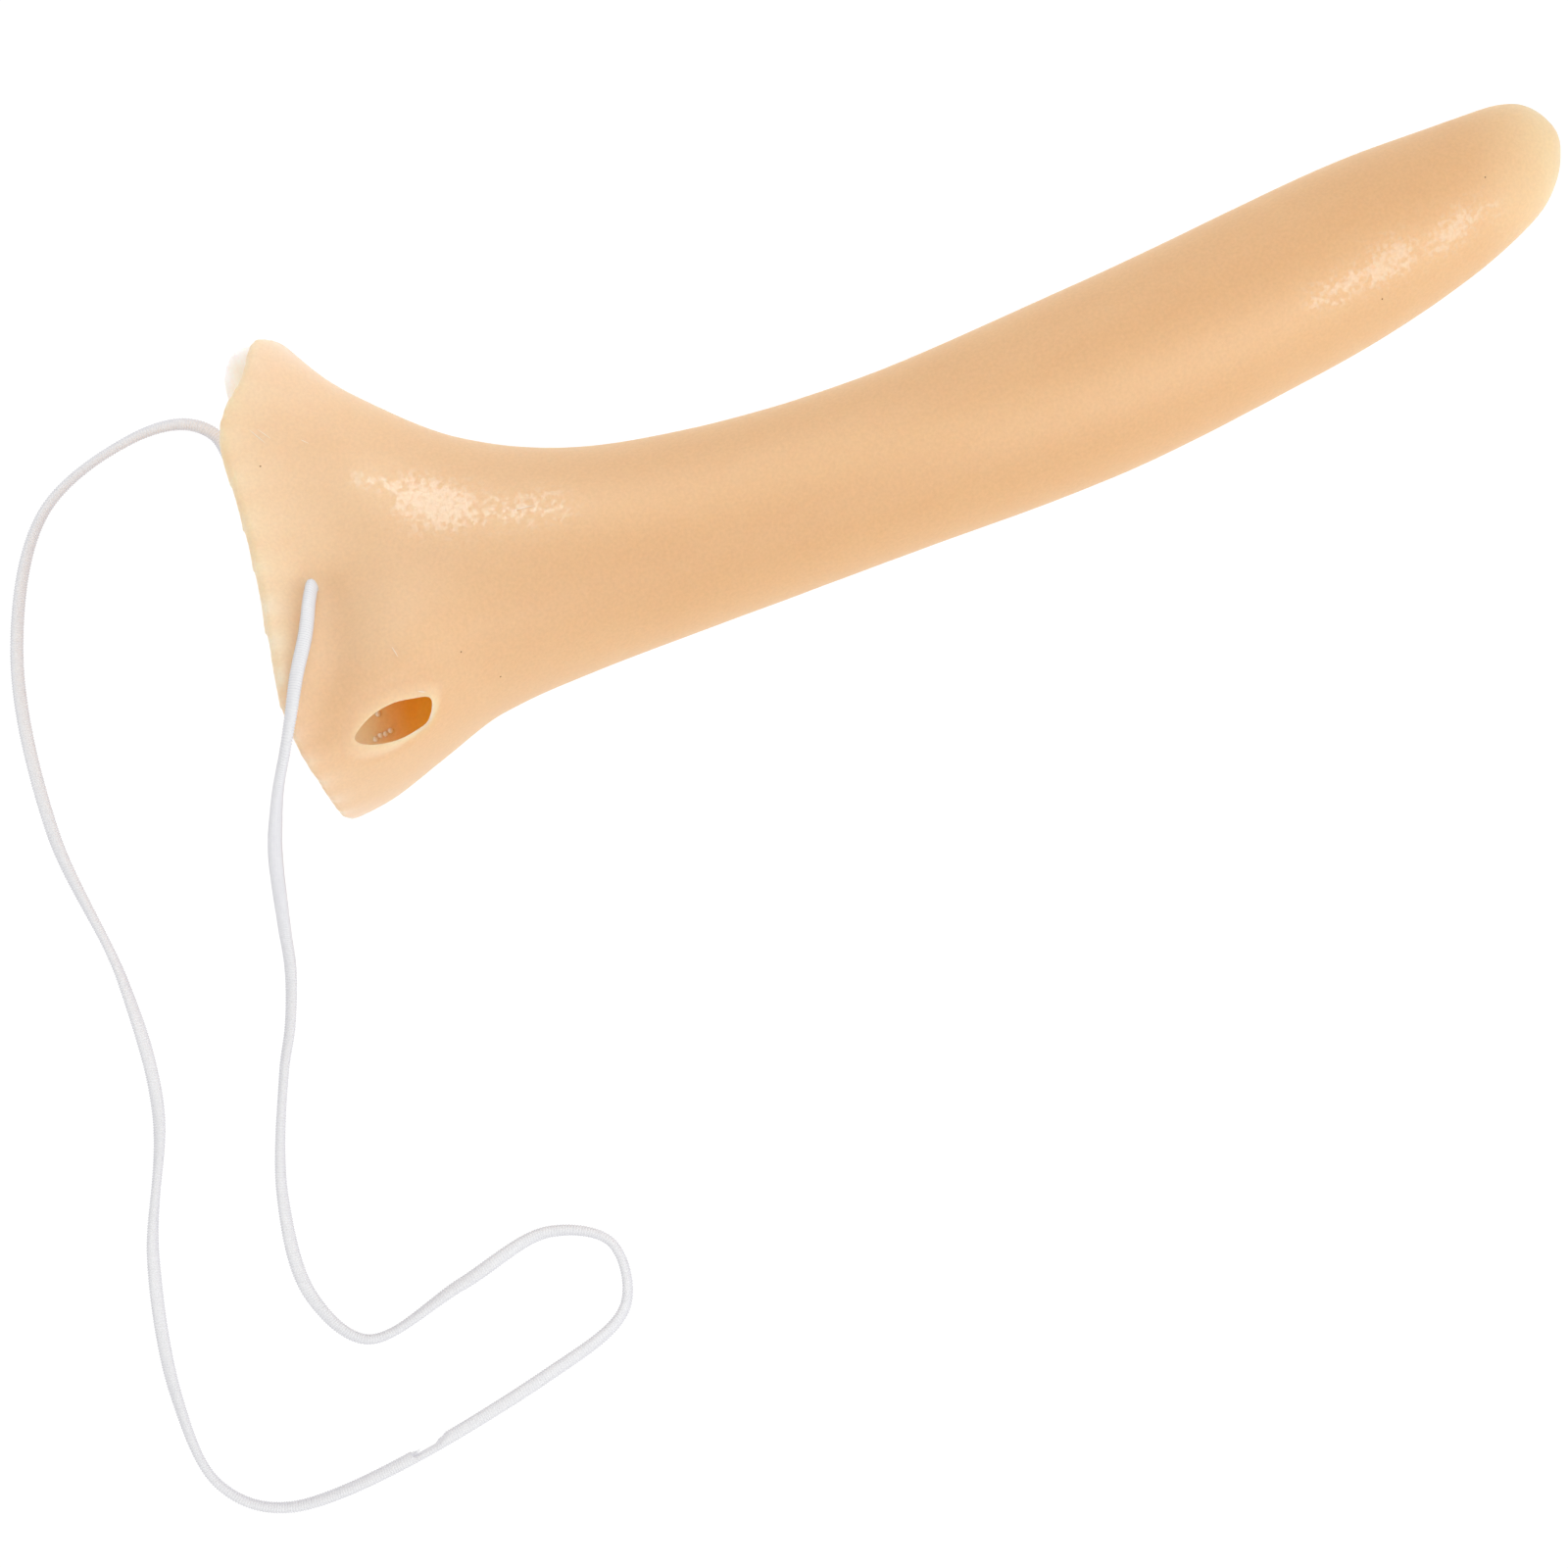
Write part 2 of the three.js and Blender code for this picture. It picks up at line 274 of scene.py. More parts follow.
# %% Pull a few fibres out of the tear
FIBRE_COUNT = 9
FIBRE_SEED = 5
FIBRE_SIDES = 5
FIBRE_RADIUS = 0.07 * MM
FIBRE_TAPER = 0.5
FIBRE_STEP = 0.12 * MM
FIBRE_REACH = 1.5 * MM
FIBRE_SHORTEST = 0.45
FIBRE_SWAY = 0.22
FIBRE_LEAN = 0.25
FIBRE_ROOTS = (0.15, 0.85)
RINGS_INSIDE = 3
CURL_PLACE = 0.55
CURL_SWAY = 0.25


def join(pieces):
    """Joins the pieces into the first of them."""
    bpy.ops.object.select_all(action="DESELECT")
    for piece in pieces:
        piece.select_set(True)
    bpy.context.view_layer.objects.active = pieces[0]
    bpy.ops.object.join()
    return bpy.context.object


scatter = np.random.default_rng(FIBRE_SEED)
stump = np.searchsorted(cord_places, tear_at)
stump_ahead = cord_line[stump - 1] - cord_line[stump]
stump_ahead /= np.linalg.norm(stump_ahead)
fibres = []
for _ in range(FIBRE_COUNT):
    lift = TEAR_SIDE * scatter.uniform(*FIBRE_ROOTS) * CORD_DIAMETER / 2
    root = cord_line[stump + RINGS_INSIDE] + lift
    sway = scatter.normal(0, FIBRE_SWAY, 3) + FIBRE_LEAN * TEAR_SIDE
    reach = FIBRE_REACH * scatter.uniform(FIBRE_SHORTEST, 1)
    curl = root + stump_ahead * reach * CURL_PLACE + sway * reach * CURL_SWAY
    fibre_end = root + stump_ahead * reach + sway * reach
    fibre_line, fibre_places = smooth_line([root, curl, fibre_end], FIBRE_STEP)
    thickness = FIBRE_RADIUS * (1 - FIBRE_TAPER * fibre_places / fibre_places[-1])
    fibres.append(tube("frayed_thread", fibre_line, np.repeat(thickness[:, None], FIBRE_SIDES, axis=1)))
frayed_thread = join(fibres)
print("fibres in the tear", FIBRE_COUNT)

# %% [markdown]
# ## Stopper knots
# Inside each flank the cord ends in an overhand knot that is too big for its hole. A short polynomial
# draws that knot: three small powers of one number cross over and under as a tied end does.

# %% Tie the knots
KNOT_CORD = 0.82
KNOT_SCALE = np.array((0.62, 0.52, 0.105)) * MM
KNOT_LIFT = 1.6
KNOT_START = 2.02
KNOT_TAIL = -2.08
KNOT_STEPS = 26


def overhand(node, cord_end, cord_next):
    """The line of a tied end: from the cord's end through the knot to a short tail."""
    low, high = (np.array(corner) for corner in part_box(node))
    t = np.linspace(KNOT_START, KNOT_TAIL, KNOT_STEPS)
    loop = np.column_stack([t**3 - 3 * t, t**4 - 4 * t**2 + KNOT_LIFT, t**5 - 10 * t]) * KNOT_SCALE
    stem = (cord_next - cord_end) / np.linalg.norm(cord_next - cord_end)
    across = np.cross(stem, (1, 0, 0))
    across /= np.linalg.norm(across)
    axes = np.array([across, np.cross(across, stem), stem])
    return np.vstack([[cord_end], (low + high) / 2 + loop @ axes])


knots = []
for node, cord_end, cord_next in (
    ("cord_knot_right", cord_route[0], cord_route[1]),
    ("cord_knot_left", cord_route[-1], cord_route[-2]),
):
    knot_line, knot_places = smooth_line(overhand(node, cord_end, cord_next), RING_SPACING)
    knot_radii = KNOT_CORD * wound_radius(knot_places, CORD_SIDES)
    knots.append(tube(node.replace("cord_knot", "tied_knot"), knot_line, knot_radii))
    print(knots[-1].name, "is tied from", round(knot_places[-1] / MM, 1), "mm of cord")

# %% [markdown]
# ## The moulded nose
# The CAD shell has the true form in flat facets. A sculptor would refine it in this order: close the
# holes of a copy, pair its triangles back into quads, round the facets off by subdivision, and remesh
# it into one even skin. The nostrils come back at the end as clean cuts, as a blade makes them.
# The two knots lie on a line straight across the face, so they give the nose's plane of symmetry.

# %% Find the plane of symmetry
def middle_of(node):
    """The middle of a CAD node's box."""
    low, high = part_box(node)
    return (Vector(low) + Vector(high)) / 2


across_face = (middle_of("cord_knot_right") - middle_of("cord_knot_left")).normalized()
face_middle = (middle_of("cord_knot_right") + middle_of("cord_knot_left")) / 2


def mirrored(place):
    """The same place on the other flank."""
    return place - 2 * (place - face_middle).dot(across_face) * across_face


def turned(direction):
    """The same direction on the other flank."""
    return direction - 2 * direction.dot(across_face) * across_face


print("across the face", [round(part, 3) for part in across_face])

# %% Copy the shell and merge its loose triangles
MERGE_WITHIN = 0.001 * MM


def only(piece):
    """Makes this the one selected and active piece."""
    bpy.ops.object.select_all(action="DESELECT")
    piece.select_set(True)
    bpy.context.view_layer.objects.active = piece


only(frame["nodes"]["nose_shell"])
bpy.ops.object.duplicate()
nose = bpy.context.object
nose.name = "latex_nose"
nose.parent = None
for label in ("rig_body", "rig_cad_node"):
    del nose[label]
bpy.ops.object.mode_set(mode="EDIT")
bpy.ops.mesh.select_all(action="SELECT")
bpy.ops.mesh.remove_doubles(threshold=MERGE_WITHIN)
bpy.ops.mesh.select_all(action="DESELECT")
bpy.ops.object.mode_set(mode="OBJECT")
print("merged copy has", len(nose.data.vertices), "vertices")

# %% Take out the walls of the holes and close them
NOSTRIL_MIDDLE = Vector((-72.0, -21.6, 37.1)) * MM
NOSTRIL_FACING = Vector((0.374, -0.613, 0.698)).normalized()
NOSTRIL_REACH = 6.6 * MM
CORD_HOLE_REACH = 1.5 * MM
RIGHT_THROUGH = 1.0
WALL_TILT = 0.35

holes = (
    (NOSTRIL_MIDDLE, NOSTRIL_FACING, NOSTRIL_REACH, NOSTRIL_REACH),
    (mirrored(NOSTRIL_MIDDLE), turned(NOSTRIL_FACING), NOSTRIL_REACH, NOSTRIL_REACH),
    (face_middle, across_face, CORD_HOLE_REACH, RIGHT_THROUGH),
)
for face in nose.data.polygons:
    for middle, axis, reach, depth in holes:
        offset = face.center - middle
        deep = offset.dot(axis)
        sideways = (offset - deep * axis).length
        if sideways < reach and abs(deep) < depth and abs(face.normal.dot(axis)) < WALL_TILT:
            face.select = True
print("faces of hole walls taken out", sum(face.select for face in nose.data.polygons))
# The copy stays in edit mode for the next cell.
bpy.ops.object.mode_set(mode="EDIT")
bpy.ops.mesh.delete(type="FACE")
bpy.ops.mesh.select_mode(type="EDGE")
bpy.ops.mesh.select_non_manifold(
    extend=False, use_wire=False, use_multi_face=False, use_non_contiguous=False
)
bpy.ops.mesh.fill_holes(sides=0)

# %% Round the facets off and remesh the skin
QUAD_BEND = math.radians(60)
QUAD_SKEW = math.radians(80)
SHARP = math.radians(42)
RIM_CREASE = 0.5
ROUNDINGS = 2
SKIN_VOXEL = 0.68 * MM
SMOOTHING = 0.5
SMOOTHING_PASSES = 6


def finish_with(piece, kind, **settings):
    """Adds one modifier and applies it."""
    modifier = piece.modifiers.new(kind.lower(), kind)
    for key, value in settings.items():
        setattr(modifier, key, value)
    only(piece)
    bpy.ops.object.modifier_apply(modifier=modifier.name)


bpy.ops.mesh.select_all(action="SELECT")
bpy.ops.mesh.tris_convert_to_quads(face_threshold=QUAD_BEND, shape_threshold=QUAD_SKEW)
bpy.ops.mesh.select_all(action="DESELECT")
bpy.ops.mesh.edges_select_sharp(sharpness=SHARP)
bpy.ops.transform.edge_crease(value=RIM_CREASE)
bpy.ops.object.mode_set(mode="OBJECT")
rim_edges = [edge for edge in nose.data.edges if edge.select]
rim_places = [nose.data.vertices[corner].co.copy() for edge in rim_edges for corner in edge.vertices]
print("rim edges kept sharp", len(rim_edges))

finish_with(nose, "SUBSURF", levels=ROUNDINGS, render_levels=ROUNDINGS)
finish_with(nose, "REMESH", mode="VOXEL", voxel_size=SKIN_VOXEL, use_smooth_shade=True)
finish_with(nose, "SMOOTH", factor=SMOOTHING, iterations=SMOOTHING_PASSES)
print("nose skin has", len(nose.data.polygons), "quads")

# %% [markdown]
# ## Hand work in the skin
# A cast skin is never quite even, and somebody trimmed its rim with scissors. A cloud texture pushes
# the surface in and out by a hair, slow waves move the cut edge, and each nostril gets a soft raised
# lip with a shallow groove round it. The lip follows the leaf outline that is cut in the next step.
# Last come a few soft pushes, as of a thumb, at the rim's corners and at the tip.

# %% Draw the nostril's leaf
NOSTRIL_LEAF_MM = [
    (-4.8, -2.1),
    (-3.6, -0.2),
    (-2.0, 1.2),
    (0.1, 2.3),
    (2.3, 2.8),
    (4.4, 3.0),
    (4.8, 2.4),
    (4.1, 0.1),
    (1.3, -2.0),
    (-2.4, -2.9),
    (-4.4, -2.6),
]
LEAF_STEP = 0.25 * MM

view_right = Vector((math.cos(CAMERA_TURN), math.sin(CAMERA_TURN), 0))
view_up = Vector((-math.sin(CAMERA_TURN), math.cos(CAMERA_TURN), 0))
view_back = (CAMERA_PLACE - NOSTRIL_MIDDLE).normalized()


def leaf_outline():
    """The nostril's outline on the skin: drawn as it is seen from above, then dropped along the view."""
    closed = [(u * MM, v * MM, 0) for u, v in NOSTRIL_LEAF_MM + NOSTRIL_LEAF_MM[:3]]
    drawn, _ = smooth_line(closed, LEAF_STEP)
    quarter = len(drawn) // 4
    half = len(drawn) // 2
    first = np.argmin(np.linalg.norm(drawn[:quarter] - closed[1], axis=1))
    last = half + np.argmin(np.linalg.norm(drawn[half:] - closed[-2], axis=1))
    outline = []
    for u, v, _ in drawn[first:last].tolist():
        offset = u * view_right + v * view_up
        offset -= view_back * offset.dot(NOSTRIL_FACING) / view_back.dot(NOSTRIL_FACING)
        outline.append(NOSTRIL_MIDDLE + offset)
    return outline


right_leaf = leaf_outline()
left_leaf = [mirrored(place) for place in right_leaf]
print("leaf outline has", len(right_leaf), "points")

# %% Raise the lips round the nostrils
CLOUD_SIZE = 14 * MM
CAST_UNEVENNESS = 0.12 * MM
LIP_HEIGHT = 0.42 * MM
LIP_WIDTH = 1.1 * MM
GROOVE_DEPTH = 0.2 * MM
GROOVE_AWAY = 2.2 * MM
GROOVE_WIDTH = 0.6 * LIP_WIDTH
FACING_OUT = 0.1


def vertex_values(piece, what):
    """The place or the normal of every vertex, as rows of three numbers."""
    values = np.empty(3 * len(piece.data.vertices), np.float32)
    piece.data.vertices.foreach_get(what, values)
    return values.reshape(-1, 3)


def distance_to(places, points):
    """How far each point is from the nearest of the places."""
    places = np.array(places, np.float32)
    squares = (points**2).sum(1)[:, None] + (places**2).sum(1) - 2 * points @ places.T
    return np.sqrt(np.maximum(squares.min(1), 0))


clouds = bpy.data.textures.new("slow_clouds", "CLOUDS")
clouds.noise_scale = CLOUD_SIZE
finish_with(
    nose, "DISPLACE", texture=clouds, texture_coords="LOCAL", strength=CAST_UNEVENNESS, mid_level=0.5
)
points = vertex_values(nose, "co")
normals = vertex_values(nose, "normal")
for leaf, facing in ((right_leaf, NOSTRIL_FACING), (left_leaf, turned(NOSTRIL_FACING))):
    away = distance_to(leaf, points)
    lip = LIP_HEIGHT * np.exp(-((away / LIP_WIDTH) ** 2))
    groove = GROOVE_DEPTH * np.exp(-(((away - GROOVE_AWAY) / GROOVE_WIDTH) ** 2))
    outside = normals @ np.array(facing) > FACING_OUT
    points += normals * np.where(outside, lip - groove, 0)[:, None]
print("vertices sculpted", len(points))

# %% Trim the rim and push the corners and the tip
TRIM_WAVE = 0.06 * MM
TRIM_REACH = 3.5 * MM
# Each wave: its share, its turns for a millimetre of Y and of Z, and where it starts.
TRIM_WAVES = ((1.0, 0.31, 0.12, 0.0), (0.5, 0.9, -0.4, 1.0))
# Each push: its place, how far it goes, its reach along the table and its reach in height.
THUMBS_MM = (
    ((-81.1, 28.4, 21.3), (-0.7, 0.7, 0), 3.5, 3.5),
    ((-86.3, 19.0, 25.8), (-0.9, 0, 0), 7.0, 7.0),
    ((-87.0, 28.0, 3.5), (-0.8, 0.6, 0), 5.5, 5.5),
    ((82.8, 30.5, 13.1), (0.2, 0.8, 0), 5.0, 12.0),
    ((86.5, 27.5, 12.0), (0.15, 0.2, 0), 3.5, 10.0),
    ((89.0, 22.0, 10.0), (-0.9, 0, 0), 4.0, 10.0),
    ((89.2, 25.3, 11.0), (-0.6, 0, 0), 2.6, 10.0),
)

trimmed = np.clip(1 - distance_to(rim_places, points) / TRIM_REACH, 0, 1) ** 2
_, wave_y, wave_z = points.T / MM
waves = 0
for share, turns_y, turns_z, start in TRIM_WAVES:
    waves = waves + share * np.sin(turns_y * wave_y + turns_z * wave_z + start)
points[:, 0] += TRIM_WAVE * waves * trimmed
for place, push, reach, height in THUMBS_MM:
    away = np.linalg.norm((points / MM - place) / (reach, reach, height), axis=1)
    points += np.exp(-(away**2))[:, None] * np.array(push) * MM
nose.data.vertices.foreach_set("co", points.ravel())
nose.data.update()
print("thumb pushes", len(THUMBS_MM))

# %% [markdown]
# ## Cut the nostrils
# Each nostril is cut with a boolean: the leaf is pushed through the wall along the line of sight and
# widens on its way in, so that the edge stays thin and the wall doesn't show behind it.

# %% Push the leaf through both walls
CUT_AHEAD = 5 * MM
CUT_BEHIND = 6 * MM
EDGE_KEPT = 0.4 * MM
CUT_FLARE = 1.5


def leaf_cutter(leaf, push):
    """A leaf-shaped punch: a flat leaf, pushed inwards by extrusion and widened at its inner end."""
    mesh = bpy.data.meshes.new("nostril_cutter")
    mesh.from_pydata([place + push * CUT_AHEAD for place in leaf], [], [list(range(len(leaf)))])
    cutter = bpy.data.objects.new("nostril_cutter", mesh)
    bpy.context.collection.objects.link(cutter)
    only(cutter)
    bpy.ops.object.mode_set(mode="EDIT")
    bpy.ops.mesh.select_all(action="SELECT")
    for depth in (CUT_AHEAD + EDGE_KEPT, CUT_BEHIND - EDGE_KEPT):
        bpy.ops.mesh.extrude_region_move(TRANSFORM_OT_translate={"value": -push * depth})
    inner_middle = sum(leaf, Vector()) / len(leaf) - push * CUT_BEHIND
    bpy.ops.transform.resize(value=(CUT_FLARE,) * 3, center_override=inner_middle)
    bpy.ops.mesh.select_all(action="SELECT")
    bpy.ops.mesh.normals_make_consistent(inside=False)
    bpy.ops.object.mode_set(mode="OBJECT")
    return cutter


for leaf, push in ((right_leaf, view_back), (left_leaf, turned(view_back))):
    cutter = leaf_cutter(leaf, push)
    finish_with(nose, "BOOLEAN", operation="DIFFERENCE", solver="EXACT", object=cutter)
    bpy.data.objects.remove(cutter)
only(nose)
bpy.ops.object.shade_smooth_by_angle(angle=SHARP)
print("nose skin after the cuts", len(nose.data.polygons), "faces")

# %% [markdown]
# ## Where the latex is thin, and where it is inside
# Thin latex lets light through, and that light is painted into the colour as paleness: at the trimmed
# rim and its cut edge, round the nostrils, at the tip, and a little towards the root of the shaft. The
# inner wall only sees light that has been through latex, so it gets a painted amber glow, and the far
# edge of the flange is so thin that the table shines through it, which is painted as a milky tone and a
# faint glow. The shader can't know these places, so each vertex carries them as attributes, from 0,
# not at all, upwards.

# %% Measure the places on the skin
SLICE = 3 * MM
NO_LENGTH = 1e-9


def mark(piece, name, values):
    """Stores one number for each vertex under a name that a shader can read."""
    layer = piece.data.attributes.new(name, "FLOAT", "POINT")
    layer.data.foreach_set("value", values)


def rising(values, start, span):
    """0 up to the start, then up to 1 over the span."""
    return np.clip((values - start) / span, 0, 1)


def falling(values, start, span):
    """1 well below the start, then down to 0 at the start."""
    return np.clip((start - values) / span, 0, 1)


def inwards(points, normals):
    """How squarely each normal points at the middle of the hollow, slice by slice along the shaft."""
    slices = np.round(points[:, 0] / SLICE).astype(int)
    slices -= slices.min()
    middles = np.zeros((slices.max() + 1, 2))
    for number in np.unique(slices):
        part = points[slices == number, 1:]
        middles[number] = (part.min(0) + part.max(0)) / 2
    to_middle = middles[slices] - points[:, 1:]
    to_middle /= np.linalg.norm(to_middle, axis=1)[:, None] + NO_LENGTH
    return (normals[:, 1:] * to_middle).sum(1)


points = vertex_values(nose, "co")
normals = vertex_values(nose, "normal")
skin_x, skin_y, skin_z = points.T
rim_away = distance_to(rim_places, points)
lip_away = np.minimum(distance_to(right_leaf, points), distance_to(left_leaf, points))
print("skin reaches", round(float(rim_away.max() / MM), 1), "mm from the rim")

# %% Mark the painted light at the rim, lips and tip
LIP_ZONE = -12 * MM
LIP_ZONE_FADE = 10 * MM
LIP_ZONE_DIMS = 0.5
BRIDGE_ZONE = 22 * MM
BRIDGE_ZONE_FADE = 7 * MM
BRIDGE_ZONE_DIMS = 0.4
RIM_PALENESS = 0.62
RIM_FADE = 18 * MM
EDGE_PALENESS = 0.12
EDGE_FADE = 2.5 * MM
ROOT_PALENESS = 0.07
ROOT_END = -35 * MM
ROOT_FADE = 20 * MM
MILKY_EDGE = 0.4
MILKY_EDGE_FADE = 1.3 * MM
MILKY_ZONE = 2 * MM
MILKY_ZONE_FADE = 8 * MM
LIP_PALENESS = 0.38
LIP_REACH = 1.7 * MM
TIP_PALENESS = 0.75
TIP_START = 73 * MM
TIP_FULL = 85 * MM
TIP_CURVE = 1.5

# Painted light: pale near the rim, its cut edge and the root, less low by the lips and high on the bridge.
lip_zone = falling(skin_y, LIP_ZONE, LIP_ZONE_FADE)
bridge_zone = rising(skin_y, BRIDGE_ZONE, BRIDGE_ZONE_FADE)
rim_share = RIM_PALENESS * np.exp(-rim_away / RIM_FADE) + EDGE_PALENESS * np.exp(-rim_away / EDGE_FADE)
rim_share *= 1 - LIP_ZONE_DIMS * lip_zone - BRIDGE_ZONE_DIMS * bridge_zone
root_share = ROOT_PALENESS * falling(skin_x, ROOT_END, ROOT_FADE) * (1 - lip_zone)
milky_zone = falling(skin_y, MILKY_ZONE, MILKY_ZONE_FADE)
mark(nose, "rim_share", rim_share + root_share)
mark(nose, "edge_share", MILKY_EDGE * milky_zone * np.exp(-rim_away / MILKY_EDGE_FADE))
# Painted light: a pale ring round each nostril's lip.
mark(nose, "lip_share", LIP_PALENESS * np.exp(-((lip_away / LIP_REACH) ** 2)))
# Painted light: the tip pales towards its end.
mark(nose, "tip_share", TIP_PALENESS * rising(skin_x, TIP_START, TIP_FULL - TIP_START) ** TIP_CURVE)
print("mean paleness of the rim", round(float(rim_share.mean()), 3))

# %% Mark the inner wall and the thin far edge
INNER_FULL = 0.4
INNER_FADE = 8 * MM
GLOW_START = -72.5 * MM
GLOW_FADE = 5 * MM
LOW_END = 25.6 * MM
LOW_FADE = 16 * MM
FAR_FADE = 6 * MM
UPPER_START = -0.1
UPPER_SPAN = 1 / 3

inner_share = rising(inwards(points, normals), 0, INNER_FULL) * rising(rim_away, 0, INNER_FADE)
low_share = falling(skin_z, LOW_END, LOW_FADE)
upper_side = rising(normals[:, 2], UPPER_START, UPPER_SPAN)
# The painted amber glow inside turns honey towards the open base.
mark(nose, "glow_share", falling(skin_x, GLOW_START, GLOW_FADE))
# Painted glow: a milky tone on the thin far edge of the flange.
mark(nose, "far_share", low_share * upper_side * np.exp(-rim_away / FAR_FADE))
mark(nose, "inner_share", inner_share)
print("share of inner wall", round(float(inner_share.mean()), 3))

# %% [markdown]
# ## Painted sheen and shade, and polished spots
# A pale band of painted sheen runs along the shaft and a painted shade darkens the crease behind the
# nostril. Handled latex isn't evenly satin, so a few spots at the root and at the tip are polished. Each
# one is drawn as a short route of points on the skin, and fades with the distance from it.

# %% Mark the painted sheen, the painted crease shade and the polished spots
BAND_MM = [
    (-70.1, 9.0, 27.1),
    (-62.6, 4.5, 28.5),
    (-48.7, 1.3, 29.4),
    (-34.0, 0.0, 28.8),
    (-8.6, 1.9, 27.3),
    (10.3, 2.4, 26.7),
    (27.1, 4.5, 25.7),
    (43.0, 8.2, 24.0),
    (60.6, 13.5, 21.9),
    (70.3, 16.5, 19.9),
    (79.0, 20.4, 17.4),
]
CREASE_MM = [
    (-76.8, -2.8, 32.0),
    (-76.8, -9.0, 36.1),
    (-76.9, -14.0, 39.2),
    (-78.5, -18.0, 40.7),
    (-79.8, -22.1, 41.1),
]
WING_POLISH_MM = [(-71.5, 9.6, 27.0), (-67.8, 8.0, 27.2), (-65.0, 6.3, 27.9), (-62.0, 5.0, 28.4)]
ROOT_POLISH_MM = [(-64.4, 5.4, 28.1), (-62.6, 4.5, 28.5), (-61.2, 4.1, 28.7)]
TAIL_POLISH_MM = [(-61.2, 4.1, 28.7), (-56.0, 2.6, 29.1), (-49.0, 1.6, 29.3)]
LONG_POLISH_MM = [(52.0, 11.4, 23.0), (57.0, 13.0, 22.5), (60.0, 13.9, 22.0)]
MAIN_POLISH_MM = [(60.0, 13.8, 22.0), (61.3, 14.3, 21.9), (63.0, 15.2, 21.5)]
TIP_POLISH_MM = [(69.0, 15.8, 20.2), (70.6, 16.9, 19.9), (72.2, 18.1, 19.5)]
BUBBLES_MM = [(73.6, 19.8, 19.4), (75.2, 19.6, 18.9), (76.8, 19.2, 18.0)]
# Each row: the share on the route, the route and its reach in millimetres.
ROOT_SPOTS = ((0.8, WING_POLISH_MM, 1.5), (1.22, ROOT_POLISH_MM, 4.0), (0.62, TAIL_POLISH_MM, 3.4))
TIP_SPOTS = (
    (0.8, LONG_POLISH_MM, 2.0),
    (1.0, MAIN_POLISH_MM, 2.8),
    (1.0, TIP_POLISH_MM, 2.3),
    (0.45, BUBBLES_MM, 2.0),
)
BAND = (0.6, BAND_MM, 4.5)
CREASE = (0.2, CREASE_MM, 2.6)
ROUTE_STEP = 0.5 * MM
ROOT_PITS = 0.2


def beside(share, route_mm, reach_mm):
    """The share on the route and less the farther from it."""
    line, _ = smooth_line(np.array(route_mm) * MM, ROUTE_STEP)
    return share * np.exp(-((distance_to(line, points) / (reach_mm * MM)) ** 2))


root_polish = np.maximum.reduce([beside(*spot) for spot in ROOT_SPOTS])
tip_polish = np.maximum.reduce([beside(*spot) for spot in TIP_SPOTS])
# Painted sheen along the shaft.
mark(nose, "sheen_band_share", beside(*BAND))
# Painted shade in the crease behind the nostril.
mark(nose, "crease_shade_share", beside(*CREASE))
mark(nose, "polish_share", np.maximum(root_polish, tip_polish))
mark(nose, "pitted_share", np.maximum(tip_polish, ROOT_PITS * root_polish))
shares = [layer.name for layer in nose.data.attributes if layer.name.endswith("_share")]
print("attributes on the skin", shares)

# %% [markdown]
# ## Latex
# Latex is cloudy: light goes in, scatters and comes out warmer, so the shader needs subsurface
# scattering. Its colour drifts between peach and straw, and painted light makes it paler where it is
# thin and amber inside. Its gloss is satin: fine grain and brushed streaks along the shaft break the
# highlights up. Only the polished spots have a glossy coat, in granules, with a painted highlight, a pale
# tone in the colour under it.

# %% Make short ways to add nodes
# The mix node has one socket of each name for each kind of value, so its colours go by number.
COLOUR_A, COLOUR_B, COLOUR_OUT = 6, 7, 2


def fresh_material(name):
    """An empty node material."""
    material = bpy.data.materials.new(name)
    material.use_nodes = True
    material.node_tree.nodes.clear()
    return material


def node_maker(material):
    """A short way to add a node and set its inputs by name or number."""
    tree = material.node_tree

    def add(kind, inputs=(), **settings):
        node = tree.nodes.new(kind)
        for key, value in settings.items():
            setattr(node, key, value)
        for socket, value in dict(inputs).items():
            if isinstance(value, bpy.types.NodeSocket):
                tree.links.new(value, node.inputs[socket])
            else:
                node.inputs[socket].default_value = value
        return node

    return add


def blended(add, factor, first, second, **settings):
    """A colour mix: first where the factor is 0, second where it is 1."""
    inputs = {"Factor": factor, COLOUR_A: first, COLOUR_B: second}
    return add("ShaderNodeMix", inputs, data_type="RGBA", **settings).outputs[COLOUR_OUT]


def noise(add, place, scale, detail=2.0):
    """A cloudy pattern, with finer clouds in it the higher the detail."""
    return add("ShaderNodeTexNoise", {"Vector": place, "Scale": scale, "Detail": detail}).outputs["Fac"]


def ranged(add, value, **limits):
    """The value, moved from one range to another: From_Min, From_Max, To_Min and To_Max set the ranges."""
    inputs = {name.replace("_", " "): limit for name, limit in limits.items()}
    return add("ShaderNodeMapRange", {"Value": value, **inputs}).outputs["Result"]


def carried(add, name):
    """An attribute that the piece's vertices carry."""
    return add("ShaderNodeAttribute", attribute_name=name).outputs["Fac"]


def show(add, shader):
    """Joins the shader to the material's output."""
    add("ShaderNodeOutputMaterial", {"Surface": shader.outputs["BSDF"]})


latex = fresh_material("satin_latex")
add = node_maker(latex)
print("empty material", latex.name)

# %% Mix the latex's colour
PEACH = (0.79, 0.475, 0.235, 1)
STRAW = (0.825, 0.52, 0.265, 1)
PALE = (1.0, 0.825, 0.58, 1)
MILKY = (1.0, 0.93, 0.88, 1)
TIP_PALE = (0.97, 0.75, 0.46, 1)
PAINTED_SHEEN = (0.92, 0.625, 0.36, 1)
SHADE = (0.66, 0.37, 0.155, 1)
AMBER = (0.95, 0.50, 0.0, 1)
HONEY = (1.0, 0.73, 0.40, 1)

